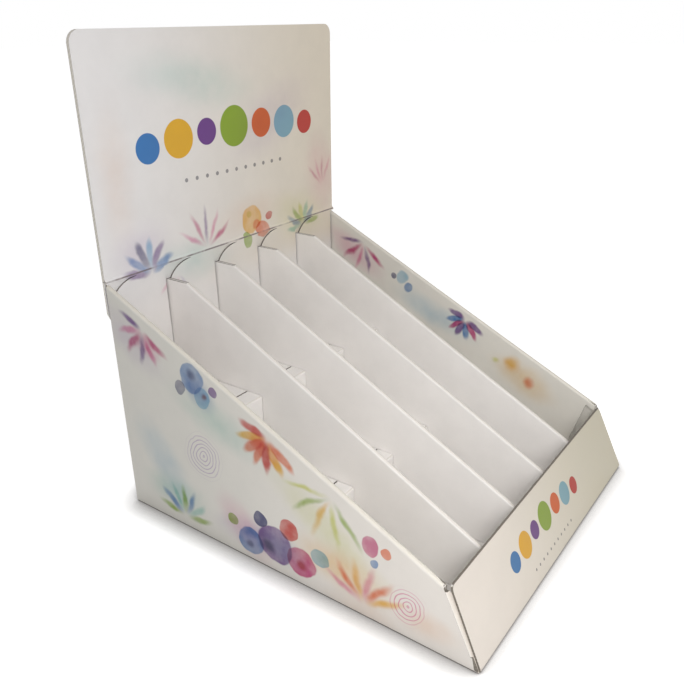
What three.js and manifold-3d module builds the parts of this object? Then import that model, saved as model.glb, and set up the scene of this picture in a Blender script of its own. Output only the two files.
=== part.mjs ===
// Counter display stand of folded board: an open tray with double roll-over side walls and a leaning
// front panel, a tall header card that saddles the tray's back wall, a stepped insert of three treads,
// and four folded dividers that interlock with the steps and make five lanes.
// Millimetres, +Z up. The customer stands at -Y, the header is at +Y, and the origin is the middle of
// the footprint, on the surface that the stand rests on.

import * as THREE from 'three';
import { mergeVertices } from 'three/addons/utils/BufferGeometryUtils.js';
import Module from 'manifold-3d';

const wasm = await Module();
wasm.setup();

// Board and fits
const board = 1.6;
const clearance = 0.3;
const bendRadius = 1.5;
const bendSteps = 4;
const crestSteps = 8;
const curveSteps = 8;

// Tray
const trayWidth = 320;
const trayDepth = 360;
const backHeight = 217;
const frontHeight = 61;
const frontLean = 29;
const sideWall = 5;
const panelTaper = 4.5;
const panelCorner = 5;
const frontFlapWidth = 38;
const frontFlapDrop = 7;
const backFlapWidth = 48;
const backFlapHeight = 108;
const flapTaper = 6;
const flapRoot = 6;
const innerFrontSetback = 11;
const innerFrontRake = 19;
const lockTabs = 2;
const lockTabWidth = 32;
const lockTabSpacing = 150;
const lockTabTaper = 2;
const foldRun = 12;

// Header card
const headerHeight = 413;
const headerCorner = 10;
const apronDepth = 44;
const apronTaperStart = 27;
const apronTaper = 7;
const tongueGapAboveTread = 4;
const tongueFade = 1.6;
const reliefWidth = 26;
const reliefHeight = 13;
const reliefFlatness = 0.3;
const headerJog = 2.2;
const headerJogRadius = 0.96;
const apronOverlap = 5;

// Stepped insert
const treadHeights = [117, 60];
const treadDepths = [111, 98];
const insertBridge = 8;
const slitSetback = 17;
const slitWidth = 1.2;
const slitBridge = 12;
const insertSideGap = 0.5;

// Dividers
const laneCount = 5;
const dividerThickness = 4.4;
const dividerBackHeight = 204.5;
const dividerLevelRun = 28;
const dividerFrontHeight = 50.5;
const dividerFrontSetback = 6;
const slotClearance = 0.35;
const crestAboveLevelCut = 0.5;
const levelCutMargin = 5;

// How far cutters and trimmed sheets reach past what they cut, and plies below their crest
const overshoot = 1;
const trimMargin = 40;
const plyDrop = 400;

// Places that follow from the sizes
const overallDepth = trayDepth + clearance + board;
const backFace = overallDepth / 2 - clearance - board;
const halfWidth = trayWidth / 2;
const innerHalfWidth = halfWidth - sideWall;
const floorTop = board;
const panelLength = Math.hypot(frontHeight, frontLean);
const panelUp = new THREE.Vector3(0, frontLean, frontHeight).normalize();
const panelInward = new THREE.Vector3(0, frontHeight, -frontLean).normalize();
const footFoldReach = bendRadius + board / 2;
const footFoldTangent = bendRadius * Math.tan((Math.PI - Math.atan2(frontHeight, frontLean)) / 2);
const footInset = (board / 2) * ((frontLean + panelLength) / frontHeight) + footFoldTangent - footFoldReach;
const frontFace = backFace - trayDepth - footInset;
const panelTopBack = frontFace + frontLean;
const insideBack = backFace - board - clearance;
const tongueFront = insideBack - board;
const legFront = tongueFront - clearance - board;
const insertFloorTop = floorTop + clearance + board;
const lanePitch = (2 * innerHalfWidth) / laneCount;
const dividerFront = panelTopBack + dividerFrontSetback;
const dividerXs = Array.from({ length: laneCount - 1 }, (_, i) => (i + 1) * lanePitch - innerHalfWidth);
const slotWidth = dividerThickness + 2 * slotClearance;
const riserFronts = treadDepths.map((_, i) => backFace - treadDepths.slice(0, i + 1)
  .reduce((sum, depth) => sum + depth, 0));
const lowerLevels = [...treadHeights.slice(1), insertFloorTop];
const lapHeights = treadHeights.map((top, i) => (top + lowerLevels[i]) / 2);

// A closed three.js geometry as a solid for joins and cuts
function solidOf(geometry) {
  const bare = geometry.clone();
  bare.deleteAttribute('normal');
  bare.deleteAttribute('uv');
  const welded = mergeVertices(bare, 1e-5);
  return new wasm.Manifold(new wasm.Mesh({
    numProp: 3,
    vertProperties: new Float32Array(welded.attributes.position.array),
    triVerts: new Uint32Array(welded.index.array),
  }));
}

function geometryOf(solid) {
  const mesh = solid.getMesh();
  const geometry = new THREE.BufferGeometry();
  geometry.setAttribute('position', new THREE.BufferAttribute(mesh.vertProperties, 3));
  geometry.setIndex(new THREE.BufferAttribute(mesh.triVerts, 1));
  const faceted = geometry.toNonIndexed();
  faceted.computeVertexNormals();
  return faceted;
}

function join(solids) {
  return solids.reduce((whole, solid) => whole.add(solid));
}

function cut(solid, cutters) {
  return cutters.reduce((whole, cutter) => whole.subtract(cutter), solid);
}

function shapeOf(points) {
  return new THREE.Shape(points.map(([a, b]) => new THREE.Vector2(a, b)));
}

// An outline extruded along its own frame's third axis
function extrude(shape, length, frame, curveSegments = curveSteps) {
  const options = { depth: length, bevelEnabled: false, steps: 1, curveSegments };
  const geometry = new THREE.ExtrudeGeometry(shape, options);
  geometry.applyMatrix4(frame);
  return solidOf(geometry);
}

function frameAt(origin, xAxis, yAxis, zAxis) {
  const frame = new THREE.Matrix4().makeBasis(xAxis, yAxis, zAxis);
  return frame.setPosition(origin);
}

const unitX = new THREE.Vector3(1, 0, 0);
const unitY = new THREE.Vector3(0, 1, 0);
const unitZ = new THREE.Vector3(0, 0, 1);

// A prism across the stand: its outline is drawn in Y and Z
function prismX(shape, fromX, toX) {
  const frame = frameAt(new THREE.Vector3(fromX, 0, 0), unitY, unitZ, unitX);
  return extrude(shape, toX - fromX, frame);
}

// A prism from front to back: its outline is drawn in X and Z
function prismY(shape, fromY, toY) {
  const frame = frameAt(new THREE.Vector3(0, toY, 0), unitX, unitZ, unitY.clone().negate());
  return extrude(shape, toY - fromY, frame);
}

function prismZ(shape, fromZ, toZ) {
  const frame = frameAt(new THREE.Vector3(0, 0, fromZ), unitX, unitY, unitZ);
  return extrude(shape, toZ - fromZ, frame);
}

function block(fromX, toX, fromY, toY, fromZ, toZ) {
  return prismZ(shapeOf([[fromX, fromY], [toX, fromY], [toX, toY], [fromX, toY]]), fromZ, toZ);
}

// The section of a folded sheet: a centre line of straight runs, rounded at each fold, with half the
// board's thickness on either side of it
function foldedSection(points, radius = bendRadius) {
  const stations = [];
  const line = points.map(([a, b]) => new THREE.Vector2(a, b));
  const directions = line.slice(1).map((point, i) => point.clone().sub(line[i]).normalize());
  stations.push([line[0], directions[0]]);
  for (let i = 1; i < line.length - 1; i += 1) {
    const before = directions[i - 1];
    const after = directions[i];
    const turn = Math.atan2(before.cross(after), before.dot(after));
    const tangent = radius * Math.tan(Math.abs(turn) / 2);
    const start = line[i].clone().addScaledVector(before, -tangent);
    const side = new THREE.Vector2(-before.y, before.x).multiplyScalar(Math.sign(turn) * radius);
    const centre = start.clone().add(side);
    for (let step = 0; step <= bendSteps; step += 1) {
      const angle = (turn * step) / bendSteps;
      const arm = side.clone().negate().rotateAround(new THREE.Vector2(), angle);
      const heading = before.clone().rotateAround(new THREE.Vector2(), angle);
      stations.push([centre.clone().add(arm), heading]);
    }
  }
  stations.push([line[line.length - 1], directions[directions.length - 1]]);
  const half = board / 2;
  const offset = (sign) => stations.map(([point, heading]) => [
    point.x - sign * half * heading.y,
    point.y + sign * half * heading.x,
  ]);
  return shapeOf([...offset(-1), ...offset(1).reverse()]);
}

// A sheet doubled over a sloping crest, open below: two plies joined by a round fold. The crest runs
// from its back point down to its front point, and reaches past both; a trim gives it its outline.
function doubledSheet(centreX, width, crestBack, crestFront) {
  const outer = width / 2;
  const inner = outer - board;
  const section = new THREE.Shape();
  section.moveTo(-outer, -plyDrop);
  section.lineTo(-outer, 0);
  section.absarc(0, 0, outer, Math.PI, 0, true);
  section.lineTo(outer, -plyDrop);
  section.lineTo(inner, -plyDrop);
  section.lineTo(inner, 0);
  section.absarc(0, 0, inner, 0, Math.PI, false);
  section.lineTo(-inner, -plyDrop);
  const along = new THREE.Vector3(0, crestFront[0] - crestBack[0], crestFront[1] - crestBack[1]);
  const length = along.length() + 2 * trimMargin;
  along.normalize();
  const up = along.clone().cross(unitX);
  const origin = new THREE.Vector3(centreX, crestBack[0], crestBack[1]);
  origin.addScaledVector(along, -trimMargin).addScaledVector(up, -outer);
  return extrude(section, length, frameAt(origin, unitX, up, along), crestSteps);
}

function sideCrestHeight(y) {
  const slope = (backHeight - frontHeight) / (backFace - panelTopBack);
  return backHeight - (backFace - y) * slope;
}

// A point on the leaning front, from its distance behind the panel's outer face and its height
function behindPanel(inward, z) {
  const atFace = frontFace + (z / frontHeight) * frontLean;
  return atFace + inward * (panelLength / frontHeight);
}

// Tray: the front panel is one ply, with tapered sides and rounded top corners
function frontPanel() {
  const up = panelUp;
  const reach = panelLength + trimMargin;
  const half = board / 2;
  const foot = behindPanel(half, half);
  const section = foldedSection([
    [foot + 2 * foldRun, half],
    [foot, half],
    [foot + up.y * reach, half + up.z * reach],
  ]);
  const sheet = prismX(section, -halfWidth, halfWidth);
  const bottom = halfWidth - bendRadius;
  const top = halfWidth - panelTaper;
  const outline = new THREE.Shape();
  outline.moveTo(-bottom, -overshoot);
  outline.lineTo(bottom, -overshoot);
  outline.lineTo(top, frontHeight - panelCorner);
  outline.quadraticCurveTo(top, frontHeight, top - panelCorner, frontHeight);
  outline.lineTo(-top + panelCorner, frontHeight);
  outline.quadraticCurveTo(-top, frontHeight, -top, frontHeight - panelCorner);
  return sheet.intersect(prismY(outline, frontFace - overshoot, backFace));
}

function backPanel() {
  const half = board / 2;
  const section = foldedSection([
    [backFace - 2 * foldRun, half],
    [backFace - half, half],
    [backFace - half, backHeight],
  ]);
  return prismX(section, -halfWidth + bendRadius, halfWidth - bendRadius);
}

function lockTabCentres() {
  const first = -((lockTabs - 1) * lockTabSpacing) / 2;
  return Array.from({ length: lockTabs }, (_, i) => first + i * lockTabSpacing);
}

function floorPlate() {
  const edge = halfWidth - board;
  const plate = block(-edge, edge, frontFace + foldRun, backFace - foldRun, 0, floorTop);
  const slots = [];
  for (const side of [-1, 1]) {
    const middle = side * (innerHalfWidth + board / 2);
    const reach = board / 2 + clearance;
    for (const y of lockTabCentres()) {
      const along = lockTabWidth / 2 + clearance;
      slots.push(block(middle - reach, middle + reach, y - along, y + along, -overshoot,
        floorTop + overshoot));
    }
  }
  return cut(plate, slots);
}

// The outer ply of a side wall, seen from the side: straight at the back, raked with the front panel
function outerPlyOutline() {
  const setback = board + clearance + bendRadius;
  const top = backHeight + trimMargin;
  return shapeOf([
    [behindPanel(setback, bendRadius), bendRadius],
    [insideBack, bendRadius],
    [insideBack, top],
    [behindPanel(setback, top), top],
  ]);
}

// The inner ply stops short of the front panel and of the back flap, and its tabs lock in the floor
function innerPlyOutline() {
  const foot = floorTop + clearance;
  const crestFront = panelTopBack + innerFrontSetback;
  const crestHeight = sideCrestHeight(crestFront) + overshoot;
  const flapTop = backFlapHeight + 2 * clearance;
  const behindFlap = tongueFront - clearance;
  const points = [
    [crestFront + innerFrontRake, foot],
    [crestFront, crestHeight],
    [crestFront - trimMargin, crestHeight],
    [crestFront - trimMargin, backHeight + trimMargin],
    [insideBack, backHeight + trimMargin],
    [insideBack, flapTop],
    [behindFlap, flapTop],
    [behindFlap, foot],
  ];
  for (const y of lockTabCentres().reverse()) {
    points.push([y + lockTabWidth / 2, foot]);
    points.push([y + lockTabWidth / 2 - lockTabTaper, clearance]);
    points.push([y - lockTabWidth / 2 + lockTabTaper, clearance]);
    points.push([y - lockTabWidth / 2, foot]);
  }
  return shapeOf(points.reverse());
}

// The double side wall: one sheet rolled over a sloping crest, with a fold into the floor below it
function sideWallSolid(side) {
  const centre = side * (halfWidth - sideWall / 2);
  const rolled = doubledSheet(centre, sideWall, [backFace, backHeight], [panelTopBack, frontHeight]);
  const outerSide = [side * (halfWidth + overshoot), centre].sort((a, b) => a - b);
  const innerSide = [centre, side * (innerHalfWidth - overshoot)].sort((a, b) => a - b);
  const outerTrim = prismX(outerPlyOutline(), outerSide[0], outerSide[1]);
  const innerTrim = prismX(innerPlyOutline(), innerSide[0], innerSide[1]);
  const crestStart = behindPanel(board + clearance + bendRadius, frontHeight);
  const crestTrim = prismX(shapeOf([
    [crestStart, frontHeight - sideWall],
    [insideBack, backHeight - sideWall],
    [insideBack, backHeight + overshoot],
    [crestStart, frontHeight + overshoot],
  ]), centre - sideWall, centre + sideWall);
  const walls = rolled.intersect(join([outerTrim, innerTrim, crestTrim]));
  return join([walls, sideFold(side), frontCornerFlap(side), backCornerFlap(side)]);
}

// The rounded fold between the floor and a side wall
function sideFold(side) {
  const half = board / 2;
  const wall = side * (halfWidth - half);
  const section = foldedSection([
    [wall, foldRun],
    [wall, half],
    [wall - side * foldRun, half],
  ]);
  const fold = prismY(section, frontFace, insideBack);
  const setback = board + clearance;
  const trim = shapeOf([
    [behindPanel(setback, -overshoot), -overshoot],
    [backFace, -overshoot],
    [backFace, trimMargin],
    [behindPanel(setback, trimMargin), trimMargin],
  ]);
  return fold.intersect(prismX(trim, -halfWidth - overshoot, halfWidth + overshoot));
}

// The flap that turns in from a side wall behind the leaning front panel
function frontCornerFlap(side) {
  const half = board / 2;
  const wall = side * (halfWidth - half);
  const depth = board + clearance + half;
  const section = foldedSection([
    [wall, depth + flapRoot],
    [wall, depth],
    [side * (halfWidth - frontFlapWidth), depth],
  ]);
  const frame = frameAt(new THREE.Vector3(0, frontFace, 0), unitX, panelInward, panelUp);
  const flap = extrude(section, panelLength + trimMargin, frame);
  const edge = side * (halfWidth + overshoot);
  const tip = side * (halfWidth - frontFlapWidth);
  const top = frontHeight - sideWall / 2;
  const low = floorTop + clearance;
  const outline = shapeOf([
    [edge, low],
    [edge, top],
    [side * (innerHalfWidth + board), top],
    [side * (innerHalfWidth - overshoot), frontHeight - frontFlapDrop],
    [tip, frontHeight - frontFlapDrop - flapTaper],
    [tip, low + flapTaper],
    [side * (innerHalfWidth + board), low],
  ]);
  return flap.intersect(prismY(outline, frontFace - overshoot, panelTopBack + trimMargin));
}

// The flap that turns in from a side wall in front of the back wall, under the top tread
function backCornerFlap(side) {
  const half = board / 2;
  const wall = side * (halfWidth - half);
  const y = insideBack - half;
  const section = foldedSection([
    [wall, y - flapRoot],
    [wall, y],
    [side * (halfWidth - backFlapWidth), y],
  ]);
  const low = floorTop + clearance;
  const flap = prismZ(section, low, backFlapHeight);
  const tip = side * (halfWidth - backFlapWidth);
  const outline = shapeOf([
    [side * (halfWidth + overshoot), 0],
    [side * (halfWidth + overshoot), backHeight],
    [side * innerHalfWidth, backFlapHeight],
    [tip, backFlapHeight - flapTaper],
    [tip, low + flapTaper],
    [side * innerHalfWidth, low],
  ]);
  return flap.intersect(prismY(outline, backFace - trimMargin, backFace));
}

function traySolid() {
  return join([floorPlate(), frontPanel(), backPanel(), sideWallSolid(-1), sideWallSolid(1)]);
}

// Header card: two plies glued above the crease that part below it and straddle the back wall
function tongueSpans() {
  const edges = [-innerHalfWidth, ...dividerXs, innerHalfWidth];
  return edges.slice(1).map((right, i) => {
    const left = edges[i];
    const atLeftWall = i === 0;
    const atRightWall = i === laneCount - 1;
    const fromX = left + (atLeftWall ? insertSideGap : slotWidth / 2);
    const toX = right - (atRightWall ? insertSideGap : slotWidth / 2);
    return { fromX, toX };
  });
}

// One tongue hangs in each lane. A curved relief frees its upper left corner, and its right edge is
// drawn in a little at the top.
function tongueOutline({ fromX, toX }, top, bottom) {
  const outline = new THREE.Shape();
  outline.moveTo(fromX, bottom);
  outline.lineTo(toX, bottom);
  outline.lineTo(toX - tongueFade, backHeight);
  outline.lineTo(toX - tongueFade, top);
  outline.lineTo(fromX + reliefWidth, top);
  outline.lineTo(fromX + reliefWidth, backHeight);
  const curveX = fromX + reliefWidth * reliefFlatness;
  outline.quadraticCurveTo(curveX, backHeight - overshoot, fromX, backHeight - reliefHeight);
  return outline;
}

function headerSolid() {
  const rearMiddle = backFace + clearance + board / 2;
  const upperMiddle = rearMiddle - board;
  const tongueMiddle = insideBack - board / 2;
  const jogLow = backHeight + 2 * clearance + board / 2;
  const jogHigh = jogLow + headerJog;
  const frontSection = foldedSection([
    [tongueMiddle, treadHeights[0] + tongueGapAboveTread],
    [tongueMiddle, jogLow],
    [upperMiddle, jogHigh],
    [upperMiddle, headerHeight],
  ], headerJogRadius);
  const frontPly = prismX(frontSection, -halfWidth, halfWidth);
  const rearPly = block(-halfWidth, halfWidth, backFace + clearance, backFace + clearance + board,
    backHeight - apronDepth, headerHeight);

  const bodyBottom = backHeight + clearance;
  const body = new THREE.Shape();
  body.moveTo(-halfWidth, bodyBottom);
  body.lineTo(halfWidth, bodyBottom);
  body.lineTo(halfWidth, headerHeight - headerCorner);
  body.absarc(halfWidth - headerCorner, headerHeight - headerCorner, headerCorner, 0, Math.PI / 2, false);
  body.lineTo(-halfWidth + headerCorner, headerHeight);
  body.absarc(-halfWidth + headerCorner, headerHeight - headerCorner, headerCorner,
    Math.PI / 2, Math.PI, false);
  const apron = shapeOf([
    [-halfWidth, bodyBottom + apronOverlap],
    [-halfWidth, backHeight - apronTaperStart],
    [-halfWidth + apronTaper, backHeight - apronDepth],
    [halfWidth - apronTaper, backHeight - apronDepth],
    [halfWidth, backHeight - apronTaperStart],
    [halfWidth, bodyBottom + apronOverlap],
  ].reverse());
  const bodyPrism = prismY(body, backFace - trimMargin, backFace + trimMargin);
  const tongues = tongueSpans().map((span) => prismY(
    tongueOutline(span, bodyBottom + overshoot, treadHeights[0]), backFace - trimMargin, backFace));
  const front = frontPly.intersect(join([bodyPrism, ...tongues]));
  const apronPrism = prismY(apron, backFace - trimMargin, backFace + trimMargin);
  const rear = rearPly.intersect(join([bodyPrism, apronPrism]));
  return front.add(rear);
}

// Stepped insert: one sheet from the back leg over two steps to the lane floor. It is slit along each
// divider, and across each tread behind the nose.
function insertSolid() {
  const half = board / 2;
  const width = innerHalfWidth - insertSideGap;
  const legMiddle = legFront + half;
  const noseYs = riserFronts.map((y) => y + half);
  const floorFront = behindPanel(2 * (board + clearance) + clearance, insertFloorTop);
  const points = [[legMiddle, floorTop + clearance], [legMiddle, treadHeights[0] - half]];
  treadHeights.forEach((height, i) => {
    points.push([noseYs[i], height - half]);
    points.push([noseYs[i], lowerLevels[i] - half]);
  });
  points.push([floorFront, insertFloorTop - half]);
  const sheet = prismX(foldedSection(points), -width, width);

  const cutters = [];
  for (const x of dividerXs) {
    treadHeights.forEach((height, i) => {
      const slotBack = (i === 0 ? legFront : riserFronts[i - 1]) - insertBridge;
      const from = x - slotWidth / 2;
      const to = x + slotWidth / 2;
      const front = riserFronts[i] - overshoot;
      cutters.push(block(from, to, front, slotBack, lapHeights[i], height + overshoot));
    });
  }
  const edges = [-width, ...dividerXs, width];
  for (let lane = 0; lane < laneCount; lane += 1) {
    const lastLane = lane === laneCount - 1;
    const from = edges[lane] + slitBridge;
    const to = lastLane ? edges[lane + 1] - slitBridge : edges[lane + 1];
    treadHeights.forEach((height, i) => {
      const y = riserFronts[i] + slitSetback;
      cutters.push(block(from, to, y - slitWidth / 2, y + slitWidth / 2, height - board - overshoot,
        height + overshoot));
    });
  }
  return cut(sheet, cutters);
}

// Divider: one sheet doubled over a sloping crest. Behind the slope both plies are cut off level, and
// slots from below let it straddle the risers.
function dividerOutline() {
  const [topTread] = treadHeights;
  const levelCutFront = backFace - dividerLevelRun - levelCutMargin;
  const lowBack = legFront - insertBridge - slotClearance;
  const footUnder = floorTop + clearance;
  const footFront = insertFloorTop + clearance;
  const [upperLap, lowerLap] = lapHeights.map((height) => height + slotClearance);
  const [upperRiser, lowerRiser] = riserFronts;
  return shapeOf([
    [dividerFront, footFront],
    [lowerRiser - slotClearance, footFront],
    [lowerRiser - slotClearance, lowerLap],
    [lowerRiser + board + slotClearance, lowerLap],
    [lowerRiser + board + slotClearance, footUnder],
    [upperRiser - insertBridge - slotClearance, footUnder],
    [upperRiser - insertBridge - slotClearance, upperLap],
    [upperRiser + board + slotClearance, upperLap],
    [upperRiser + board + slotClearance, footUnder],
    [lowBack, footUnder],
    [lowBack, topTread + slotClearance],
    [insideBack, topTread + slotClearance],
    [insideBack, dividerBackHeight],
    [levelCutFront, dividerBackHeight],
    [levelCutFront, dividerBackHeight + trimMargin],
    [dividerFront, dividerBackHeight + trimMargin],
  ]);
}

function dividerSolid(x) {
  const crestBack = [backFace - dividerLevelRun, dividerBackHeight + crestAboveLevelCut];
  const crestFront = [dividerFront, dividerFrontHeight];
  const folded = doubledSheet(x, dividerThickness, crestBack, crestFront);
  return folded.intersect(prismX(dividerOutline(), x - dividerThickness, x + dividerThickness));
}

function material(color, roughness) {
  return new THREE.MeshStandardMaterial({ color, roughness, metalness: 0, flatShading: true });
}

const printedBoard = material(0xe9e6e0, 0.42);
const plainBoard = material(0xdfe2e3, 0.62);

function piece(name, solid, finish) {
  const mesh = new THREE.Mesh(geometryOf(solid), finish);
  mesh.name = name;
  return mesh;
}

const stand = new THREE.Group();
stand.name = 'display_stand';
stand.add(piece('tray', traySolid(), printedBoard));
stand.add(piece('header_card', headerSolid(), printedBoard));
stand.add(piece('step_insert', insertSolid(), plainBoard));
dividerXs.forEach((x, i) => {
  stand.add(piece(`divider_${i + 1}`, dividerSolid(x), plainBoard));
});

export default stand;
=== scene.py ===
"""Looks of an empty counter display stand of printed and plain folded board.

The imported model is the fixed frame. Each folded sheet is copied from its node, its cut edges are
softened, it is bowed a little as real board is, and it gets a printed or plain board material.
"""

import math
from collections import namedtuple

import bmesh
import bpy
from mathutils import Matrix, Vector
from mathutils.bvhtree import BVHTree


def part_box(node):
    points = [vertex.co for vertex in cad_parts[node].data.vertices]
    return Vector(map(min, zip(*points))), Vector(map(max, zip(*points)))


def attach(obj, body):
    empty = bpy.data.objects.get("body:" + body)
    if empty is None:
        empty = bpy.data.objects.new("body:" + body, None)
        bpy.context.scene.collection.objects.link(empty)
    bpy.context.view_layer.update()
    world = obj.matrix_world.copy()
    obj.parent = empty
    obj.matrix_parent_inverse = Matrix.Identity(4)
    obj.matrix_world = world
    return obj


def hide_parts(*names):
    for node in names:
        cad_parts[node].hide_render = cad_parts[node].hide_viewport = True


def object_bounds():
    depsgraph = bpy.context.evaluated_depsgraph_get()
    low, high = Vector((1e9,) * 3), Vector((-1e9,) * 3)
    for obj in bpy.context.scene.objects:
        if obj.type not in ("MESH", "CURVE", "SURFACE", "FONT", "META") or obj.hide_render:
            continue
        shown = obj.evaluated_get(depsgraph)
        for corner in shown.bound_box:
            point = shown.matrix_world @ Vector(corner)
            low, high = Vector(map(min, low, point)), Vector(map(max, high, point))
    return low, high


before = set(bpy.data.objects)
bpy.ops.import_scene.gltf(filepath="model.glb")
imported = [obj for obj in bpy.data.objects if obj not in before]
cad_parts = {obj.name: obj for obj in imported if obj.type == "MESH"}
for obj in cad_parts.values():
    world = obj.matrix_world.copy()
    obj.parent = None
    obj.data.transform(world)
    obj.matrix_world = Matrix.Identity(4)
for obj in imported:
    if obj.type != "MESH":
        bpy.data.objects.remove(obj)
CAD_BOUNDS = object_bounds()

MM = 0.001

# Sizes that the frame gives
LOW, HIGH = (Vector(corner) for corner in CAD_BOUNDS)
TRAY_LOW, TRAY_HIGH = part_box("tray")
HEADER_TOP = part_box("header_card")[1].z
HALF_WIDTH = TRAY_HIGH.x
BACK_HEIGHT = TRAY_HIGH.z
BACK_FACE = TRAY_HIGH.y

# Sizes that the frame's boxes don't say
BOARD = 1.6 * MM
SIDE_WALL = 5 * MM
FRONT_HEIGHT = 61 * MM
FRONT_LEAN = 29 * MM
INNER_HALF_WIDTH = HALF_WIDTH - SIDE_WALL
CREST_FRONT = TRAY_LOW.y + FRONT_LEAN
CREST_ANGLE = math.atan2(BACK_HEIGHT - FRONT_HEIGHT, BACK_FACE - CREST_FRONT)

DIVIDER_COUNT = 4

# The plane where the header's two plies meet, and the height of its crease
GLUE_PLANE = BACK_FACE + 0.3 * MM
CREASE_HEIGHT = BACK_HEIGHT + 1.8 * MM

# How the meshes are joined, cut and softened
JOIN_DISTANCE = 1e-6
PLANE_DISTANCE = 1e-7
FLAT_ANGLE = math.radians(0.5)
SHARP_ANGLE = math.radians(38)
EDGE_ROUND = 0.22 * MM
EDGE_STEPS = 2
GRID = 24 * MM
AREA_WEIGHT = 100

# How the board is bowed
WALL_BOW = 0.9 * MM
WALL_BOW_REACH = 1.6 * BACK_HEIGHT
HEADER_BOW = 2.2 * MM
HEADER_TWIST = HEADER_BOW / 2
DIVIDER_BOW = 1.1 * MM
EVEN_DIVIDER_BOW = -0.7
DIVIDER_HELD = 60 * MM
DIVIDER_WANDER = 0.4
WANDER_RATE = 7

# A sheet's faces are told apart by what they show
OUTSIDE, INSIDE, FRONT, BACK, PLAIN, CUT = range(6)

# The thickness of board behind a face that isn't a cut edge
SHEET_THICKNESS = 2 * MM
DOUBLE_SHEET_THICKNESS = 3.7 * MM
RAY_START = 0.01 * MM
RAY_REACH = 1.0

# Parts of a face's unit normal, past which it counts as facing that way
LEVEL = 0.97
SQUARE_ON = 0.75
FORWARD = 0.4
SIDEWAYS = 0.2


def bump(t):
    """0 at t = 0 and 1, and 1 half way, smoothly; 0 outside."""
    return math.sin(math.pi * min(1, max(0, t))) ** 2


def bow(point):
    """Where a point of the flat model lies on the bowed one. One field moves every piece, so that
    what fits together still does. Nothing moves at the floor."""
    x, y, z = point
    along = (y - LOW.y) / (HIGH.y - LOW.y)
    side = x / HALF_WIDTH
    x -= WALL_BOW * side * bump(along) * bump(z / WALL_BOW_REACH)
    above = max(0, z - BACK_HEIGHT) / (HEADER_TOP - BACK_HEIGHT)
    y -= HEADER_BOW * (1 - side * side) * math.sin(math.pi / 2 * above) ** 2
    y -= HEADER_TWIST * above * above * (1 + side) / 2
    return Vector((x, y, z))


def bow_divider(point, index):
    """A divider's free upper edge wanders a little to one side between its ends."""
    x, y, z = point
    low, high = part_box(f"divider_{index}")
    along = (y - low.y) / (high.y - low.y)
    free = max(0, z - DIVIDER_HELD) / (high.z - DIVIDER_HELD)
    lean = DIVIDER_BOW * (1 if index % 2 else EVEN_DIVIDER_BOW)
    wander = 1 - DIVIDER_WANDER + DIVIDER_WANDER * math.sin(WANDER_RATE * along)
    return Vector((x + lean * free * math.sin(math.pi * along) * wander, y, z))


def tray_zone(place, normal):
    """Which print a face of the tray's sheet shows. The front panel's top edge is a cut one."""
    at_front = place.y < CREST_FRONT + BOARD
    above_floor = place.z > TRAY_LOW.z + BOARD
    if normal.z > LEVEL and above_floor and at_front:
        return CUT
    if abs(normal.y) > SQUARE_ON:
        if normal.y > 0:
            return PLAIN
        return FRONT if at_front else BACK
    inward = -1 if place.x > 0 else 1
    if abs(place.x) > HALF_WIDTH - SIDE_WALL / 2 and normal.x * inward < SIDEWAYS:
        return OUTSIDE
    if above_floor and abs(place.x) > INNER_HALF_WIDTH - BOARD:
        return INSIDE
    return FRONT if normal.y < -FORWARD else PLAIN


def header_zone(place, normal):
    return FRONT if normal.y < -FORWARD else PLAIN


def plain_zone(place, normal):
    return PLAIN


def mark_zones(mesh, thickness, zone_of):
    """A face whose board is thicker behind it than the sheet is a cut edge."""
    tree = BVHTree.FromBMesh(mesh)
    for face in mesh.faces:
        middle = face.calc_center_median()
        start = middle - face.normal * RAY_START
        hit = tree.ray_cast(start, -face.normal, RAY_REACH)
        depth = hit[3] if hit[0] is not None else RAY_REACH
        face.material_index = zone_of(middle, face.normal) if depth < thickness else CUT


def slice_into_grid(mesh):
    """Cuts the large flat faces along planes, so that they can bow."""
    for axis in range(3):
        normal = Vector((0, 0, 0))
        normal[axis] = 1
        steps = int((HIGH[axis] - LOW[axis]) / GRID)
        for step in range(1, steps + 1):
            place = normal * (LOW[axis] + step * GRID)
            everything = mesh.verts[:] + mesh.edges[:] + mesh.faces[:]
            bmesh.ops.bisect_plane(mesh, geom=everything, plane_co=place, plane_no=normal,
                                   dist=PLANE_DISTANCE)


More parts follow.
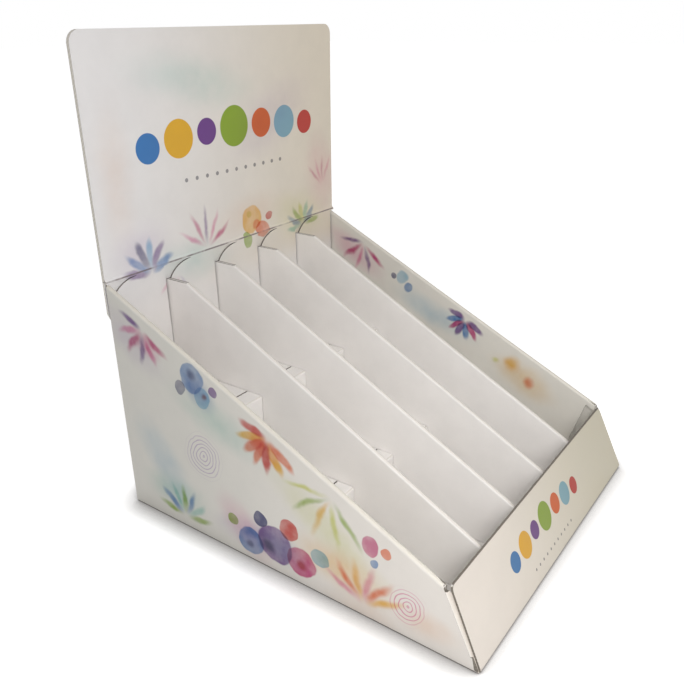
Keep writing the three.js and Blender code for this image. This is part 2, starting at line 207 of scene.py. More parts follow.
def board_piece(node, zone_of, materials, thickness=SHEET_THICKNESS, extra_bow=None):
    """A softened, bowed copy of a node's sheet, which stands for the node. Each vertex remembers
    its place on the flat model, which the print follows."""
    mesh = bmesh.new()
    mesh.from_mesh(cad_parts[node].data)
    mesh.transform(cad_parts[node].matrix_world)
    bmesh.ops.remove_doubles(mesh, verts=mesh.verts, dist=JOIN_DISTANCE)
    bmesh.ops.dissolve_limit(mesh, angle_limit=FLAT_ANGLE, verts=mesh.verts, edges=mesh.edges)
    bmesh.ops.triangulate(mesh, faces=mesh.faces)
    mesh.normal_update()
    mark_zones(mesh, thickness, zone_of)
    bmesh.ops.dissolve_limit(mesh, angle_limit=FLAT_ANGLE, verts=mesh.verts, edges=mesh.edges,
                             delimit={"MATERIAL"})
    sharp = [edge for edge in mesh.edges
             if len(edge.link_faces) == 2 and edge.calc_face_angle() > SHARP_ANGLE]
    bmesh.ops.bevel(mesh, geom=sharp, offset=EDGE_ROUND, segments=EDGE_STEPS, profile=0.5,
                    affect="EDGES", clamp_overlap=True, material=-1)
    slice_into_grid(mesh)
    flat = mesh.verts.layers.float_vector.new("flat")
    for vertex in mesh.verts:
        vertex[flat] = vertex.co
        place = extra_bow(vertex.co) if extra_bow else vertex.co
        vertex.co = bow(place)
    bmesh.ops.triangulate(mesh, faces=mesh.faces)
    for face in mesh.faces:
        face.smooth = True
    data = bpy.data.meshes.new(node + "_board")
    mesh.to_mesh(data)
    mesh.free()
    for material in materials:
        data.materials.append(material)
    piece = bpy.data.objects.new(node + "_board", data)
    bpy.context.scene.collection.objects.link(piece)
    weighted = piece.modifiers.new("even_normals", "WEIGHTED_NORMAL")
    weighted.keep_sharp = True
    weighted.weight = AREA_WEIGHT
    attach(piece, "root")
    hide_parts(node)
    return piece


# Materials


def linear(red, green, blue):
    """A colour on the 0 to 255 screen scale as a linear one, by the sRGB curve."""
    values = []
    for value in (red, green, blue):
        share = value / 255
        values.append(share / 12.92 if share <= 0.04045 else ((share + 0.055) / 1.055) ** 2.4)
    return (*values, 1.0)


# Inks
MAGENTA = linear(200, 46, 128)
ROSE = linear(234, 150, 190)
LILAC = linear(206, 190, 226)
SKY = linear(146, 198, 230)
AZURE = linear(64, 130, 200)
NAVY = linear(48, 52, 118)
AQUA = linear(160, 214, 208)
SUN = linear(243, 190, 52)
ORANGE = linear(233, 112, 46)
RED = linear(207, 62, 50)
LEAF = linear(150, 184, 52)
LIME = linear(222, 228, 140)
VIOLET = linear(116, 68, 152)
PEACH = linear(244, 216, 196)
GREY = linear(150, 150, 156)


class Graph:
    """Short calls for building a material's nodes."""

    def __init__(self, name):
        self.material = bpy.data.materials.new(name)
        self.material.use_nodes = True
        self.tree = self.material.node_tree
        self.shader = self.tree.nodes["Principled BSDF"]

    def node(self, kind, **settings):
        node = self.tree.nodes.new(kind)
        for key, value in settings.items():
            setattr(node, key, value)
        return node

    def link(self, value, socket):
        if isinstance(value, bpy.types.NodeSocket):
            self.tree.links.new(value, socket)
        else:
            socket.default_value = value

    def math(self, operation, first, second=0.0, clamp=False):
        node = self.node("ShaderNodeMath", operation=operation, use_clamp=clamp)
        self.link(first, node.inputs[0])
        self.link(second, node.inputs[1])
        return node.outputs[0]

    def range(self, value, low, high, to_low=0.0, to_high=1.0):
        node = self.node("ShaderNodeMapRange", interpolation_type="SMOOTHSTEP")
        self.link(value, node.inputs["Value"])
        node.inputs["From Min"].default_value = low
        node.inputs["From Max"].default_value = high
        node.inputs["To Min"].default_value = to_low
        node.inputs["To Max"].default_value = to_high
        return node.outputs["Result"]

    def mix(self, factor, first, second, blend="MIX"):
        node = self.node("ShaderNodeMix", data_type="RGBA", blend_type=blend)
        self.link(factor, node.inputs["Factor"])
        self.link(first, node.inputs["A"])
        self.link(second, node.inputs["B"])
        return node.outputs["Result"]

    def noise(self, vector, scale, detail=2.0, roughness=0.5, distortion=0.0):
        node = self.node("ShaderNodeTexNoise")
        self.link(vector, node.inputs["Vector"])
        node.inputs["Scale"].default_value = scale
        node.inputs["Detail"].default_value = detail
        node.inputs["Roughness"].default_value = roughness
        node.inputs["Distortion"].default_value = distortion
        return node

    def vector(self, operation, first, second=(0, 0, 0)):
        node = self.node("ShaderNodeVectorMath", operation=operation)
        self.link(first, node.inputs[0])
        self.link(second, node.inputs[1])
        return node

    def combine(self, x, y, z=0.0):
        node = self.node("ShaderNodeCombineXYZ")
        for value, socket in zip((x, y, z), node.inputs):
            self.link(value, socket)
        return node.outputs[0]

    def bump(self, height, strength, distance, normal=None):
        node = self.node("ShaderNodeBump")
        node.inputs["Strength"].default_value = strength
        node.inputs["Distance"].default_value = distance
        self.link(height, node.inputs["Height"])
        if normal is not None:
            self.link(normal, node.inputs["Normal"])
        return node.outputs[0]


def spot_group():
    """The mask of one ellipse of ink: its middle, half sizes, turn and softness are inputs."""
    group = bpy.data.node_groups.new("ink_spot", "ShaderNodeTree")
    face = group.interface
    face.new_socket("Vector", in_out="INPUT", socket_type="NodeSocketVector")
    face.new_socket("Middle", in_out="INPUT", socket_type="NodeSocketVector")
    face.new_socket("Turn", in_out="INPUT", socket_type="NodeSocketVector")
    face.new_socket("Size", in_out="INPUT", socket_type="NodeSocketVector")
    face.new_socket("Inner", in_out="INPUT", socket_type="NodeSocketFloat")
    face.new_socket("Mask", in_out="OUTPUT", socket_type="NodeSocketFloat")
    enter = group.nodes.new("NodeGroupInput")
    leave = group.nodes.new("NodeGroupOutput")
    place = group.nodes.new("ShaderNodeMapping")
    place.vector_type = "TEXTURE"
    length = group.nodes.new("ShaderNodeVectorMath")
    length.operation = "LENGTH"
    ramp = group.nodes.new("ShaderNodeMapRange")
    ramp.interpolation_type = "SMOOTHSTEP"
    ramp.inputs["From Min"].default_value = 1.0
    join = group.links.new
    join(enter.outputs["Vector"], place.inputs["Vector"])
    join(enter.outputs["Middle"], place.inputs["Location"])
    join(enter.outputs["Turn"], place.inputs["Rotation"])
    join(enter.outputs["Size"], place.inputs["Scale"])
    join(place.outputs[0], length.inputs[0])
    join(length.outputs["Value"], ramp.inputs["Value"])
    join(enter.outputs["Inner"], ramp.inputs["From Max"])
    join(ramp.outputs["Result"], leave.inputs["Mask"])
    return group


SPOT_GROUP = spot_group()

# The row of chips and dots, in millimetres at full scale
CHIP_INKS = [AZURE, SUN, VIOLET, LEAF, ORANGE, SKY, RED]
CHIP_RADII = [13, 17, 12, 19, 14, 16, 12]
CHIP_GAP = 5
CHIP_RISE = 9
CHIP_SOFTNESS = 0.03
DOT_COUNT = 11
DOT_PITCH = 13
DOT_DROP = 31
DOT_RADIUS = 2
DOT_SOFTNESS = 0.1
DOT_STRENGTH = 0.9

# The thin rings
RING_PITCH = 3.6 * MM
RING_LOW, RING_HIGH = 0.55, 0.85
RING_FADE_START = 0.55
RING_STRENGTH = 0.85

# How watercolour ink runs and lies
NOISE_LOW, NOISE_HIGH = 0.3, 0.7
RUN_SCALE = 26.0
RUN_REACH = 14 * MM
FOOT_RUN_REACH = 12 * MM
INK_MOTTLE_SCALE = 60.0
INK_THINNEST = 0.7
PAINTED_LIGHT_START = 0.7 * BACK_FACE
TONGUE_FADE = (168 * MM, 204 * MM)

# One ellipse of ink, in millimetres and degrees. Softness is the share of its radius that fades.
Spot = namedtuple("Spot", "u v long wide turn soft ink strength")


def fan(u, v, count, reach, wide, start, sweep, inks, soft=0.7, strength=0.7):
    """Petals that spread from one point, through an angle of sweep that begins at start."""
    petals = []
    for i in range(count):
        angle = start + sweep * i / max(1, count - 1)
        away = math.radians(angle)
        middle_u = u + reach * math.cos(away)
        middle_v = v + reach * math.sin(away)
        petals.append(Spot(middle_u, middle_v, reach, wide, angle, soft, inks[i % len(inks)], strength))
    return petals


def drops(places, inks, soft=0.12, strength=0.8):
    """Round drops of ink. A place is u, v and a radius."""
    spots = []
    for i, (u, v, radius) in enumerate(places):
        ink = inks[i % len(inks)]
        spots.append(Spot(u, v, radius, radius, 0, soft, ink, strength))
    return spots


def clouds(places, inks, strength=0.35):
    """Wide soft washes. A place is u, v, half the length, half the width and a turn."""
    return [Spot(u, v, long, wide, turn, 1.0, inks[i % len(inks)], strength)
            for i, (u, v, long, wide, turn) in enumerate(places)]


def paint(graph, colour, vector, spots, mottle=None):
    """Multiplies spots of ink onto a colour, one after another."""
    for spot in spots:
        node = graph.node("ShaderNodeGroup", node_tree=SPOT_GROUP)
        graph.link(vector, node.inputs["Vector"])
        node.inputs["Middle"].default_value = (spot.u * MM, spot.v * MM, 0)
        node.inputs["Turn"].default_value = (0, 0, math.radians(spot.turn))
        node.inputs["Size"].default_value = (spot.long * MM, spot.wide * MM, 1)
        node.inputs["Inner"].default_value = max(0.0, 1 - spot.soft)
        strength = graph.math("MULTIPLY", node.outputs["Mask"], spot.strength)
        if mottle is not None:
            strength = graph.math("MULTIPLY", strength, mottle)
        colour = graph.mix(strength, colour, spot.ink, "MULTIPLY")
    return colour


def wobbled(graph, vector, scale, amount):
    """The same coordinates, pushed about by noise, so that inked edges run."""
    noise = graph.noise(vector, scale, detail=3.0, roughness=0.55).outputs["Color"]
    centred = graph.vector("SUBTRACT", noise, (0.5, 0.5, 0.5)).outputs[0]
    push = graph.vector("MULTIPLY", centred, (amount, amount, 0)).outputs[0]
    return graph.vector("ADD", vector, push).outputs[0]


def coordinates(graph):
    """The place on the flat model, its parts, and the parts of the object-space normal."""
    source = graph.node("ShaderNodeAttribute", attribute_name="flat")
    place = graph.node("ShaderNodeSeparateXYZ")
    graph.link(source.outputs["Vector"], place.inputs[0])
    direction = graph.node("ShaderNodeTexCoord")
    facing = graph.node("ShaderNodeSeparateXYZ")
    graph.link(direction.outputs["Normal"], facing.inputs[0])
    return source.outputs["Vector"], place.outputs, facing.outputs


# The paper's surface
FIBRE_SCALE = 900.0
FIBRE_HEIGHT = 0.05 * MM
MOTTLE_SCALE = 35.0
MOTTLE_DARKEST = 0.965
SMOOTHER, ROUGHER = 0.05, 0.06
WAVE_SCALE = 9.0
WAVE_STRENGTH = 0.25
WAVE_HEIGHT = 1.2 * MM


def board_surface(graph, position, colour, rough, fibre_strength, gloss):
    """Paper fibre, a faint mottle of the colour, and the long waves of the board under the liner."""
    fibres = graph.noise(position, FIBRE_SCALE, detail=4.0, roughness=0.65).outputs["Fac"]
    mottle = graph.noise(position, MOTTLE_SCALE, detail=3.0, roughness=0.6).outputs["Fac"]
    waves = graph.noise(position, WAVE_SCALE, detail=1.0).outputs["Fac"]
    shade = graph.range(mottle, NOISE_LOW, NOISE_HIGH, MOTTLE_DARKEST, 1.0)
    toned = graph.mix(1.0, colour, graph.combine(shade, shade, shade), "MULTIPLY")
    graph.link(toned, graph.shader.inputs["Base Color"])
    roughness = graph.range(mottle, NOISE_LOW, NOISE_HIGH, rough - SMOOTHER, rough + ROUGHER)
    graph.link(roughness, graph.shader.inputs["Roughness"])
    long_waves = graph.bump(waves, WAVE_STRENGTH, WAVE_HEIGHT)
    fine = graph.bump(fibres, fibre_strength, FIBRE_HEIGHT, long_waves)
    graph.link(fine, graph.shader.inputs["Normal"])
    graph.shader.inputs["Specular IOR Level"].default_value = gloss


# Paper, edges and shade lines
# The outer wall's paper at the back and at the front: the front one is lighter as painted light
WALL_BACK_PAINTED_SHADE = linear(206, 204, 197)
WALL_FRONT_PAINTED_LIGHT = linear(218, 213, 207)
INNER_WALL = linear(222, 219, 211)
PANEL_LEFT = linear(214, 206, 197)
PANEL_RIGHT = linear(194, 187, 167)
HEADER_LEFT = linear(225, 223, 223)
HEADER_RIGHT = linear(222, 212, 195)
PLAIN_WHITE = linear(240, 237, 234)
PLAIN_SPECK = linear(214, 212, 209)
TONGUE_WHITE = linear(232, 229, 227)
HEADER_EDGE = linear(226, 222, 214)
PLAIN_EDGE = linear(158, 152, 147)
# The tray's raw edge colour, darkened further as painted shade for the shadow lines along the front panel
TRAY_EDGE_AND_SHADE = linear(112, 106, 98)
# Dark colour for the edges of slits and tongue gaps: painted shade
SLIT_PAINTED_SHADE = linear(92, 85, 82)
LINER_SHADE = linear(120, 114, 106)
PLAIN_FOLD_PAINTED_SHADE = linear(221, 216, 210)
FLUTE_SHADE = linear(150, 142, 130)
GLUE_SHADE = linear(138, 130, 120)
FOLD_PALE_AND_HIGHLIGHT = linear(216, 211, 200)
CREASE_SHADE = linear(112, 100, 100)


def header_ink():
    """The generic design along the foot of the header and down the tongues: petals and drops."""
    spots = clouds(
        [(-120, 236, 46, 30, 20), (-60, 214, 60, 26, -8), (20, 240, 70, 26, 6), (96, 226, 60, 34, -12),
         (140, 262, 34, 60, 10), (-135, 300, 26, 80, 0), (60, 330, 90, 40, 25), (-40, 370, 100, 30, -10)],
        [LILAC, AQUA, PEACH, LIME, ROSE, PEACH, LILAC, AQUA], 0.34)
    spots += fan(-112, 214, 6, 17, 5, 20, 150, [AZURE, VIOLET, SKY, NAVY], 0.6, 0.75)
    spots += fan(-40, 219, 5, 22, 3.4, 35, 110, [MAGENTA, ROSE, VIOLET], 0.9, 0.8)
    spots += drops([(24, 232, 15), (40, 219, 10), (14, 214, 8), (49, 233, 5)], [SUN, ORANGE, LEAF, RED])
    spots += drops([(31, 226, 6), (20, 238, 4)], [ORANGE, LIME], 0.4, 0.7)
    spots += fan(104, 212, 7, 15, 4.4, 10, 170, [LEAF, AZURE, AQUA, LIME], 0.65, 0.7)
    spots += fan(140, 246, 4, 20, 3.2, 60, 70, [ROSE, MAGENTA], 1.0, 0.55)
    spots += fan(-84, 205, 4, 14, 3.0, 215, 100, [ROSE, LILAC], 1.0, 0.6)
    return spots


def garland(middle_u, middle_v, scale):
    """A row of plain round colour chips in a shallow arc, over a row of small grey dots."""
    spots = []
    reach = sum(CHIP_RADII) + CHIP_GAP * (len(CHIP_RADII) - 1) / 2
    place = -reach
    for ink, full_radius in zip(CHIP_INKS, CHIP_RADII):
        place += full_radius
        rise = CHIP_RISE * (1 - (place / reach) ** 2)
        radius = full_radius * scale
        spots.append(Spot(middle_u + place * scale, middle_v + rise * scale, radius, radius, 0,
                          CHIP_SOFTNESS, ink, 1.0))
        place += full_radius + CHIP_GAP
    radius = DOT_RADIUS * scale
    for i in range(DOT_COUNT):
        along = (i - (DOT_COUNT - 1) / 2) * DOT_PITCH * scale
        spots.append(Spot(middle_u + along, middle_v - DOT_DROP * scale, radius, radius, 0,
                          DOT_SOFTNESS, GREY, DOT_STRENGTH))
    return spots


def wall_ink():
    """The generic design on the outer side walls, along the sloping edge."""
    spots = clouds(
        [(40, 30, 60, 26, 8), (150, 34, 70, 24, -6), (270, 40, 80, 24, 5), (330, 96, 50, 60, 0),
         (110, 120, 60, 30, 30), (210, 110, 50, 24, 20)],
        [LILAC, AQUA, LIME, PEACH, SKY, ROSE], 0.45)
    spots += clouds([(60, 22, 20, 13, 0), (122, 22, 26, 16, 10), (196, 20, 26, 16, -5)],
                    [ROSE, AZURE, ORANGE], 0.7)
    spots += fan(52, 12, 6, 17, 4.8, 10, 170, [MAGENTA, ROSE, VIOLET], 0.75, 0.95)
    spots += drops([(112, 16, 14), (128, 24, 9), (104, 32, 6), (136, 12, 5)], [AZURE, SKY, NAVY, VIOLET])
    spots += drops([(110, 14, 7), (130, 22, 4)], [NAVY, RED], 0.8, 0.8)
    spots += fan(196, 9, 7, 17, 5.6, 15, 160, [ORANGE, SUN, RED, ORANGE], 0.5, 0.95)
    spots += fan(262, 8, 5, 26, 4.4, 30, 120, [LEAF, LIME, SUN], 0.9, 0.95)
    spots += drops([(306, 20, 9), (320, 14, 5), (316, 30, 4)], [MAGENTA, ORANGE, AZURE])
    return spots


def foot_ink():
    """The lower part of the outer side walls, in distance from the back and height."""
    spots = clouds([(60, 34, 50, 24, 0), (150, 28, 60, 20, 6), (240, 36, 60, 26, -6), (318, 20, 34, 18, 0),
                    (180, 26, 36, 20, 0)],
                   [AQUA, LILAC, SUN, PEACH, AZURE], 0.55)
    spots += drops([(176, 27, 19), (149, 19, 14), (203, 22, 15), (222, 36, 9), (160, 46, 8), (190, 49, 11),
                    (130, 33, 6)],
                   [VIOLET, AZURE, MAGENTA, SKY, NAVY, RED, LEAF], 0.1, 0.95)
    spots += drops([(169, 22, 9), (204, 19, 7), (147, 16, 6)], [NAVY, RED, NAVY], 0.8, 0.85)
    spots += fan(70, 10, 7, 19, 4.6, 15, 150, [LEAF, AQUA, AZURE], 0.75, 0.9)
    spots += fan(262, 10, 6, 23, 5.4, 30, 120, [SUN, ORANGE, ROSE], 0.85, 0.95)
    return spots


def ripples(graph, colour, vector, u, v, reach, ink):
    """Thin rings of ink round one point, stronger near their middle."""
    offset = graph.vector("SUBTRACT", vector, (u * MM, v * MM, 0)).outputs[0]
    distance = graph.vector("LENGTH", offset).outputs["Value"]
    turns = graph.math("MULTIPLY", distance, 2 * math.pi / RING_PITCH)
    rings = graph.range(graph.math("SINE", turns), RING_LOW, RING_HIGH)
    inside = graph.range(distance, RING_FADE_START * reach * MM, reach * MM, RING_STRENGTH, 0.0)
    return graph.mix(graph.math("MULTIPLY", rings, inside), colour, ink, "MULTIPLY")


def inner_wall_ink():
    """The inner plies, in distance along the crest from the back and down from it."""
    spots = clouds([(50, 24, 60, 20, 6), (170, 26, 70, 20, -4), (290, 26, 50, 24, 0)],
                   [ROSE, SKY, SUN], 0.5)
    spots += fan(60, 6, 5, 20, 4.0, 25, 130, [MAGENTA, VIOLET, ROSE], 0.85, 0.95)
    spots += drops([(118, 14, 9), (131, 20, 6), (108, 20, 4)], [SKY, AZURE, NAVY], 0.3)
    spots += fan(206, 8, 7, 13, 4.4, 10, 165, [VIOLET, MAGENTA, AZURE], 0.5, 0.95)
    spots += drops([(272, 18, 13), (296, 26, 9), (256, 28, 6)], [SUN, ORANGE, LIME], 0.9, 0.9)
    return spots


def ink_mottle(graph, position):
    """Ink that lies a little uneven, as in a watercolour print."""
    noise = graph.noise(position, INK_MOTTLE_SCALE, detail=3.0).outputs["Fac"]
    return graph.range(noise, NOISE_LOW, NOISE_HIGH, INK_THINNEST, 1.0)


def printed(graph, position, colour):
    """Coated print: a satin surface."""
    board_surface(graph, position, colour, rough=0.42, fibre_strength=0.12, gloss=0.4)
    return graph.material


def crest_coordinates(graph, place):
    """Distance along the side wall's sloping crest from the back, and down from it."""
    along_back = graph.math("SUBTRACT", BACK_FACE, place["Y"])
    drop = graph.math("SUBTRACT", BACK_HEIGHT, place["Z"])
    cosine = math.cos(CREST_ANGLE)
    sine = math.sin(CREST_ANGLE)
    along = graph.math("ADD", graph.math("MULTIPLY", along_back, cosine),
                       graph.math("MULTIPLY", drop, sine))
    below = graph.math("SUBTRACT", graph.math("MULTIPLY", drop, cosine),
                       graph.math("MULTIPLY", along_back, sine))
    return graph.combine(along, below)


def pale_fold_and_highlight(graph, position, facing, colour):
    """The ink is thin and cracked where the sheet is folded over the crest; the pale colour on the
    up-facing crest is also partly a painted highlight.
    """
    # Partly painted highlight: faces that look upward turn pale
    highlight_on_fold = graph.range(facing["Z"], low=0.3, high=0.75)
    noise = graph.noise(position, scale=260.0, detail=4.0, roughness=0.7).outputs["Fac"]
    cracks = graph.range(noise, low=0.35, high=0.6, to_low=0.55, to_high=0.95)
    return graph.mix(graph.math("MULTIPLY", highlight_on_fold, cracks), colour, FOLD_PALE_AND_HIGHLIGHT)


def outside_print():
    graph = Graph("outside_print")
    position, place, facing = coordinates(graph)
    mottle = ink_mottle(graph, position)
    runny = wobbled(graph, crest_coordinates(graph, place), RUN_SCALE, RUN_REACH)
    # Painted light: the outer wall's paper is lighter toward the front and darker toward the back
    painted_light_toward_front = graph.range(place["Y"], PAINTED_LIGHT_START, CREST_FRONT)
    paper = graph.mix(painted_light_toward_front, WALL_BACK_PAINTED_SHADE, WALL_FRONT_PAINTED_LIGHT)
    colour = paint(graph, paper, runny, wall_ink(), mottle)
    along_back = graph.math("SUBTRACT", BACK_FACE, place["Y"])
    runny_foot = wobbled(graph, graph.combine(along_back, place["Z"]), RUN_SCALE, FOOT_RUN_REACH)
    colour = paint(graph, colour, runny_foot, foot_ink(), mottle)
    colour = ripples(graph, colour, runny_foot, u=100, v=84, reach=25, ink=LILAC)
    colour = ripples(graph, colour, runny_foot, u=300, v=30, reach=20, ink=ROSE)
    return printed(graph, position, pale_fold_and_highlight(graph, position, facing, colour))


def inside_print():
    graph = Graph("inside_print")
    position, place, facing = coordinates(graph)
    runny = wobbled(graph, crest_coordinates(graph, place), RUN_SCALE, RUN_REACH)
    colour = paint(graph, INNER_WALL, runny, inner_wall_ink(), ink_mottle(graph, position))
    return printed(graph, position, pale_fold_and_highlight(graph, position, facing, colour))


def front_print():
    graph = Graph("front_print")
    position, place, _ = coordinates(graph)
    across = graph.range(place["X"], -HALF_WIDTH, HALF_WIDTH)
    paper = graph.mix(across, PANEL_LEFT, PANEL_RIGHT)
    flat = graph.combine(place["X"], place["Z"])
    colour = paint(graph, paper, flat, garland(middle_u=-10, middle_v=31, scale=0.6))
    return printed(graph, position, colour)


def header_print():
    graph = Graph("header_print")
    position, place, _ = coordinates(graph)
    across = graph.range(place["X"], -HALF_WIDTH, HALF_WIDTH)
    colour = graph.mix(across, HEADER_LEFT, HEADER_RIGHT)
    flat = graph.combine(place["X"], place["Z"])
    runny = wobbled(graph, flat, RUN_SCALE, RUN_REACH)
    colour = paint(graph, colour, runny, header_ink(), ink_mottle(graph, flat))
    colour = paint(graph, colour, flat, garland(middle_u=6, middle_v=318, scale=1.0))
    above_tongue = graph.range(place["Z"], *TONGUE_FADE)
    colour = graph.mix(above_tongue, TONGUE_WHITE, colour)
    # Painted shade: a dark line along the crease, broken up by noise
    from_crease = graph.math("ABSOLUTE", graph.math("SUBTRACT", place["Z"], CREASE_HEIGHT))
    crease = graph.range(from_crease, low=0.35 * MM, high=0.85 * MM, to_low=1.0, to_high=0.0)
    noise = graph.noise(flat, scale=45.0, detail=3.0, roughness=0.6).outputs["Fac"]
    crease_shade_breakup = graph.range(noise, low=0.36, high=0.56, to_low=0.2, to_high=0.9)
    colour = graph.mix(graph.math("MULTIPLY", crease, crease_shade_breakup), colour, CREASE_SHADE)
    return printed(graph, position, colour)


def plain_board():
    """Uncoated white board: faint specks, and painted shade: a darker line along the up-facing sloping
    folds.
    """
    graph = Graph("plain_board")
    position, _, facing = coordinates(graph)
    noise = graph.noise(position, scale=420.0, detail=2.0, roughness=0.7).outputs["Fac"]
    speck = graph.range(noise, low=0.62, high=0.8, to_low=0.0, to_high=0.25)
    colour = graph.mix(speck, PLAIN_WHITE, PLAIN_SPECK)
    # Painted shade: up-facing sloping folds are darkened so that they seem to catch less light
    painted_shade_on_crest = graph.range(facing["Z"], low=0.45, high=0.8)
    sloping = graph.range(graph.math("ABSOLUTE", facing["Y"]), low=0.2, high=0.4)
    colour = graph.mix(graph.math("MULTIPLY", painted_shade_on_crest, sloping), colour, PLAIN_FOLD_PAINTED_SHADE)
    board_surface(graph, position, colour, rough=0.62, fibre_strength=0.3, gloss=0.3)
    return graph.material


# The raw edge of the board
FLUTE_SCALE = 180.0
FLUTE_STRENGTH = 0.22
GLUE_LINE = (0.1 * MM, 0.3 * MM)
LINER_LINE = (1.15 * MM, 1.4 * MM)
TONGUE_REACH = 5 * MM
TONGUE_SHADE = 0.9
EDGE_FIBRE_SCALE = 1500.0
EDGE_FIBRE_HEIGHT = 0.08 * MM


def cut_edge(name, edge_colour):
    """The raw edge: flutes that show as fine shade, the glue and liner lines of the header's double sheet
    above its crease, and painted shade on the edges of its tongues below, for the gaps behind them."""
    graph = Graph(name)
    position, place, _ = coordinates(graph)
    flutes = graph.node("ShaderNodeTexWave", wave_type="BANDS", bands_direction="DIAGONAL")
    graph.link(position, flutes.inputs["Vector"])
    flutes.inputs["Scale"].default_value = FLUTE_SCALE
    flutes.inputs["Distortion"].default_value = 1.5
    flutes.inputs["Detail"].default_value = 2.0
    shade = graph.range(flutes.outputs["Fac"], low=0.2, high=0.9, to_low=0.0, to_high=FLUTE_STRENGTH)
    colour = graph.mix(shade, edge_colour, FLUTE_SHADE)
    from_glue = graph.math("ABSOLUTE", graph.math("SUBTRACT", place["Y"], GLUE_PLANE))
    glue_line = graph.range(from_glue, *GLUE_LINE, to_low=0.75, to_high=0.0)
    liner_line = graph.range(from_glue, *LINER_LINE, to_low=0.0, to_high=0.7)
    double = graph.math("GREATER_THAN", place["Z"], CREASE_HEIGHT)
    colour = graph.mix(graph.math("MULTIPLY", glue_line, double), colour, GLUE_SHADE)
    colour = graph.mix(graph.math("MULTIPLY", liner_line, double), colour, LINER_SHADE)
    # Painted shade: the edges of the header's tongues, below the crease and within the lanes, are darkened
    lane = graph.math("LESS_THAN", graph.math("ABSOLUTE", place["X"]), INNER_HALF_WIDTH)
    behind = graph.math("LESS_THAN", from_glue, TONGUE_REACH)
    tongue = graph.math("MULTIPLY", graph.math("SUBTRACT", lane, double, clamp=True), behind)
    colour = graph.mix(graph.math("MULTIPLY", tongue, TONGUE_SHADE), colour, SLIT_PAINTED_SHADE)
    fibres = graph.noise(position, EDGE_FIBRE_SCALE, detail=3.0, roughness=0.7).outputs["Fac"]
    graph.link(colour, graph.shader.inputs["Base Color"])
    graph.shader.inputs["Roughness"].default_value = 0.85
    rough_fibres = graph.bump(fibres, strength=0.5, distance=EDGE_FIBRE_HEIGHT)
    graph.link(rough_fibres, graph.shader.inputs["Normal"])
    return graph.material


# Pieces


def build_pieces():
    """Each list of looks is in the order of the face zones."""
    plain = plain_board()
    header = header_print()
    # The tray's cut edges: raw board colour, partly painted shade
    tray_edge_and_shade = cut_edge("tray_edge_and_shade", TRAY_EDGE_AND_SHADE)
    header_edge = cut_edge("header_edge", HEADER_EDGE)
    plain_edge = cut_edge("plain_edge", PLAIN_EDGE)
    tray_looks = [outside_print(), inside_print(), front_print(), header, plain, tray_edge_and_shade]
    header_looks = [plain, plain, header, header, plain, header_edge]
    plain_looks = [plain, plain, plain, plain, plain, plain_edge]
    # The insert's cut edges line its slits, and they are painted dark as painted shade in the slits
    insert_looks = [plain, plain, plain, plain, plain, cut_edge("slit_edge_painted_shade", SLIT_PAINTED_SHADE)]
    board_piece("tray", tray_zone, tray_looks)
    header_piece = board_piece("header_card", header_zone, header_looks, DOUBLE_SHEET_THICKNESS)
    board_piece("step_insert", plain_zone, insert_looks)
    for index in range(1, DIVIDER_COUNT + 1):
        def bend(point, index=index):
            return bow_divider(point, index)
        divider = board_piece(f"divider_{index}", plain_zone, plain_looks, extra_bow=bend)


# Stage, lights and camera

CAMERA_PLACE = (-0.5183, -0.32518, 0.41852)
CAMERA_TURN = (65.7514, 0.585, -54.3711)
FOCAL_PIXELS = 737.59
FRAME_HEIGHT = 700
SENSOR = 36.0
CLIP_NEAR, CLIP_FAR = 0.01, 50

FLOOR_REACH = 12.0
FLOOR_DROP = 0.2 * MM
FLOOR_LIFT = 0.62
FLOOR_OPEN = (0.85, 0.85, 0.85, 1)
FLOOR_PAINTED_SHADOW = (0.14, 0.12, 0.11, 1)
PAINTED_SHADOW_REACH = 26 * MM
CONTACT_SAMPLES = 8
CONTACT_POWER = 2.0

AMBIENT_LOW, AMBIENT_HIGH = 0.36, 0.66
AMBIENT_RISE_START = -0.2
AMBIENT_COLOUR = (1.0, 0.992, 0.985, 1.0)
BRIGHT_SIDE = Vector((-0.62, -0.55, 0.55)).normalized()
MIDDLE = Vector((0, 0, 0.12))


def camera_ray_factor(nodes, links):
    """1 for rays from the camera and for those seen in gloss or through glass."""
    path = nodes.new("ShaderNodeLightPath")
    first = nodes.new("ShaderNodeMath")
    first.operation = "MAXIMUM"
    links.new(path.outputs["Is Camera Ray"], first.inputs[0])
    links.new(path.outputs["Is Glossy Ray"], first.inputs[1])
    second = nodes.new("ShaderNodeMath")
    second.operation = "MAXIMUM"
    links.new(first.outputs[0], second.inputs[0])
    links.new(path.outputs["Is Transmission Ray"], second.inputs[1])
    return second.outputs[0]


def make_world():
    world = bpy.data.worlds.new("studio")
    bpy.context.scene.world = world
    world.use_nodes = True
    nodes, links = world.node_tree.nodes, world.node_tree.links
    nodes.clear()
    output = nodes.new("ShaderNodeOutputWorld")
    blend = nodes.new("ShaderNodeMixShader")
    soft = nodes.new("ShaderNodeBackground")
    soft.inputs["Color"].default_value = AMBIENT_COLOUR
    direction = nodes.new("ShaderNodeTexCoord")
    toward = nodes.new("ShaderNodeVectorMath")
    toward.operation = "DOT_PRODUCT"
    toward.inputs[1].default_value = BRIGHT_SIDE
    links.new(direction.outputs["Generated"], toward.inputs[0])
    level = nodes.new("ShaderNodeMapRange")
    level.inputs["From Min"].default_value = AMBIENT_RISE_START
    level.inputs["To Min"].default_value = AMBIENT_LOW
    level.inputs["To Max"].default_value = AMBIENT_HIGH
    links.new(toward.outputs["Value"], level.inputs["Value"])
    links.new(level.outputs["Result"], soft.inputs["Strength"])
    white = nodes.new("ShaderNodeBackground")
    white.inputs["Color"].default_value = (1, 1, 1, 1)
    white.inputs["Strength"].default_value = 1.0
    links.new(camera_ray_factor(nodes, links), blend.inputs["Fac"])
    links.new(soft.outputs[0], blend.inputs[1])
    links.new(white.outputs[0], blend.inputs[2])
    links.new(blend.outputs[0], output.inputs["Surface"])


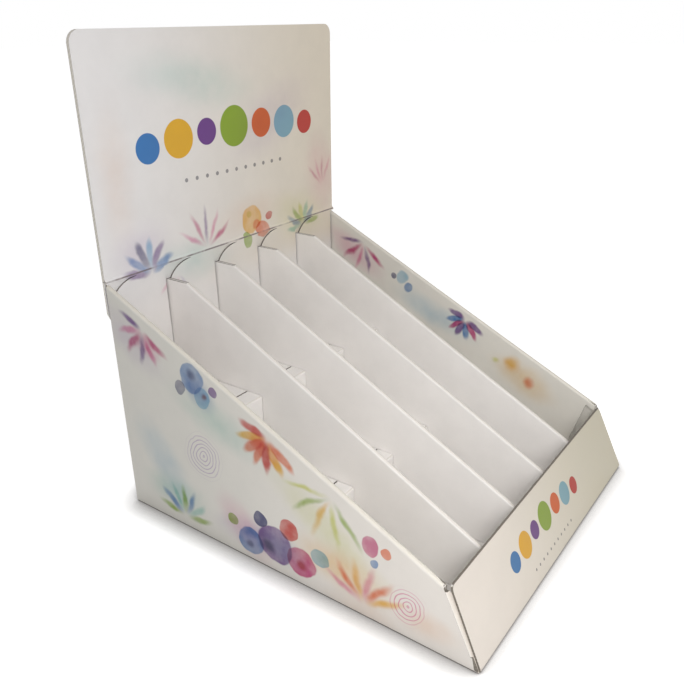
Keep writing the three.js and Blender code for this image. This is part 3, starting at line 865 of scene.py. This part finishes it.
def make_floor():
    """A white floor that keeps the soft shadow: the light that the camera lacks there is added, and less
    of it close to the stand, where the floor's colour is also darkened as a painted contact shadow."""
    data = bpy.data.meshes.new("floor")
    corners = [(x * FLOOR_REACH, y * FLOOR_REACH, 0) for x, y in [(-1, -1), (1, -1), (1, 1), (-1, 1)]]
    data.from_pydata(corners, [], [(0, 1, 2, 3)])
    floor = bpy.data.objects.new("floor", data)
    bpy.context.scene.collection.objects.link(floor)
    floor.location.z = -FLOOR_DROP
    material = bpy.data.materials.new("floor_white")
    material.use_nodes = True
    nodes, links = material.node_tree.nodes, material.node_tree.links
    nodes.clear()
    output = nodes.new("ShaderNodeOutputMaterial")
    # Painted shadow: ambient occlusion darkens the floor's colour and its lift close to the stand
    near = nodes.new("ShaderNodeAmbientOcclusion")
    near.inputs["Distance"].default_value = PAINTED_SHADOW_REACH
    near.samples = CONTACT_SAMPLES
    open_share = nodes.new("ShaderNodeMath")
    open_share.operation = "POWER"
    open_share.inputs[1].default_value = CONTACT_POWER
    links.new(near.outputs["AO"], open_share.inputs[0])
    floor_tone_with_painted_shadow = nodes.new("ShaderNodeMix")
    floor_tone_with_painted_shadow.data_type = "RGBA"
    floor_tone_with_painted_shadow.inputs["A"].default_value = FLOOR_PAINTED_SHADOW
    floor_tone_with_painted_shadow.inputs["B"].default_value = FLOOR_OPEN
    links.new(open_share.outputs[0], floor_tone_with_painted_shadow.inputs["Factor"])
    diffuse = nodes.new("ShaderNodeBsdfDiffuse")
    links.new(floor_tone_with_painted_shadow.outputs["Result"], diffuse.inputs["Color"])
    factor = nodes.new("ShaderNodeMath")
    factor.operation = "MULTIPLY"
    links.new(camera_ray_factor(nodes, links), factor.inputs[0])
    links.new(open_share.outputs[0], factor.inputs[1])
    strength = nodes.new("ShaderNodeMath")
    strength.operation = "MULTIPLY"
    strength.inputs[1].default_value = FLOOR_LIFT
    links.new(factor.outputs[0], strength.inputs[0])
    lift = nodes.new("ShaderNodeEmission")
    links.new(strength.outputs[0], lift.inputs["Strength"])
    add = nodes.new("ShaderNodeAddShader")
    links.new(diffuse.outputs[0], add.inputs[0])
    links.new(lift.outputs[0], add.inputs[1])
    links.new(add.outputs[0], output.inputs["Surface"])
    data.materials.append(material)


def place_lamp(data, place, target, watts, colour):
    """Puts a lamp into the scene, turned to its target."""
    data.energy = watts
    data.color = colour
    lamp = bpy.data.objects.new(data.name, data)
    lamp.location = place
    lamp.rotation_euler = (Vector(target) - Vector(place)).to_track_quat("-Z", "Y").to_euler()
    bpy.context.scene.collection.objects.link(lamp)


def disk_lamp(name, size):
    data = bpy.data.lights.new(name, "AREA")
    data.shape = "DISK"
    data.size = size
    return data


def spot_lamp(name, size, spread):
    data = bpy.data.lights.new(name, "SPOT")
    data.shadow_soft_size = size
    data.spot_size = spread
    data.spot_blend = 1.0
    return data


def make_lamps():
    """A soft lamp and a weaker one beside the camera, a weak fill from the front, and a pool of
    light on the low front."""
    place_lamp(disk_lamp("key", size=0.3), place=(-0.52, -0.44, 0.52), target=MIDDLE,
               watts=1.75, colour=(1.0, 0.99, 0.98))
    place_lamp(disk_lamp("near_corner", size=0.3), place=(-0.4, -0.5, 0.4), target=(-0.08, -0.15, 0.03),
               watts=0.65, colour=(1.0, 0.985, 0.96))
    place_lamp(disk_lamp("front_fill", size=1.2), place=(0.5, -1.6, 0.9), target=MIDDLE,
               watts=1.6, colour=(1.0, 0.98, 0.95))
    place_lamp(spot_lamp("front_pool", size=0.08, spread=math.radians(44)), place=(-0.5, -0.42, 0.56),
               target=(0.0, -0.15, 0.02), watts=3.4, colour=(1.0, 0.99, 0.98))


def make_camera():
    data = bpy.data.cameras.new("camera")
    data.sensor_fit = "VERTICAL"
    data.sensor_height = SENSOR
    data.lens = FOCAL_PIXELS * SENSOR / FRAME_HEIGHT
    data.clip_start = CLIP_NEAR
    data.clip_end = CLIP_FAR
    camera = bpy.data.objects.new("camera", data)
    camera.location = CAMERA_PLACE
    camera.rotation_euler = [math.radians(angle) for angle in CAMERA_TURN]
    bpy.context.scene.collection.objects.link(camera)
    bpy.context.scene.camera = camera


build_pieces()
make_world()
make_floor()
make_lamps()
make_camera()
bpy.context.scene.view_settings.view_transform = "Standard"
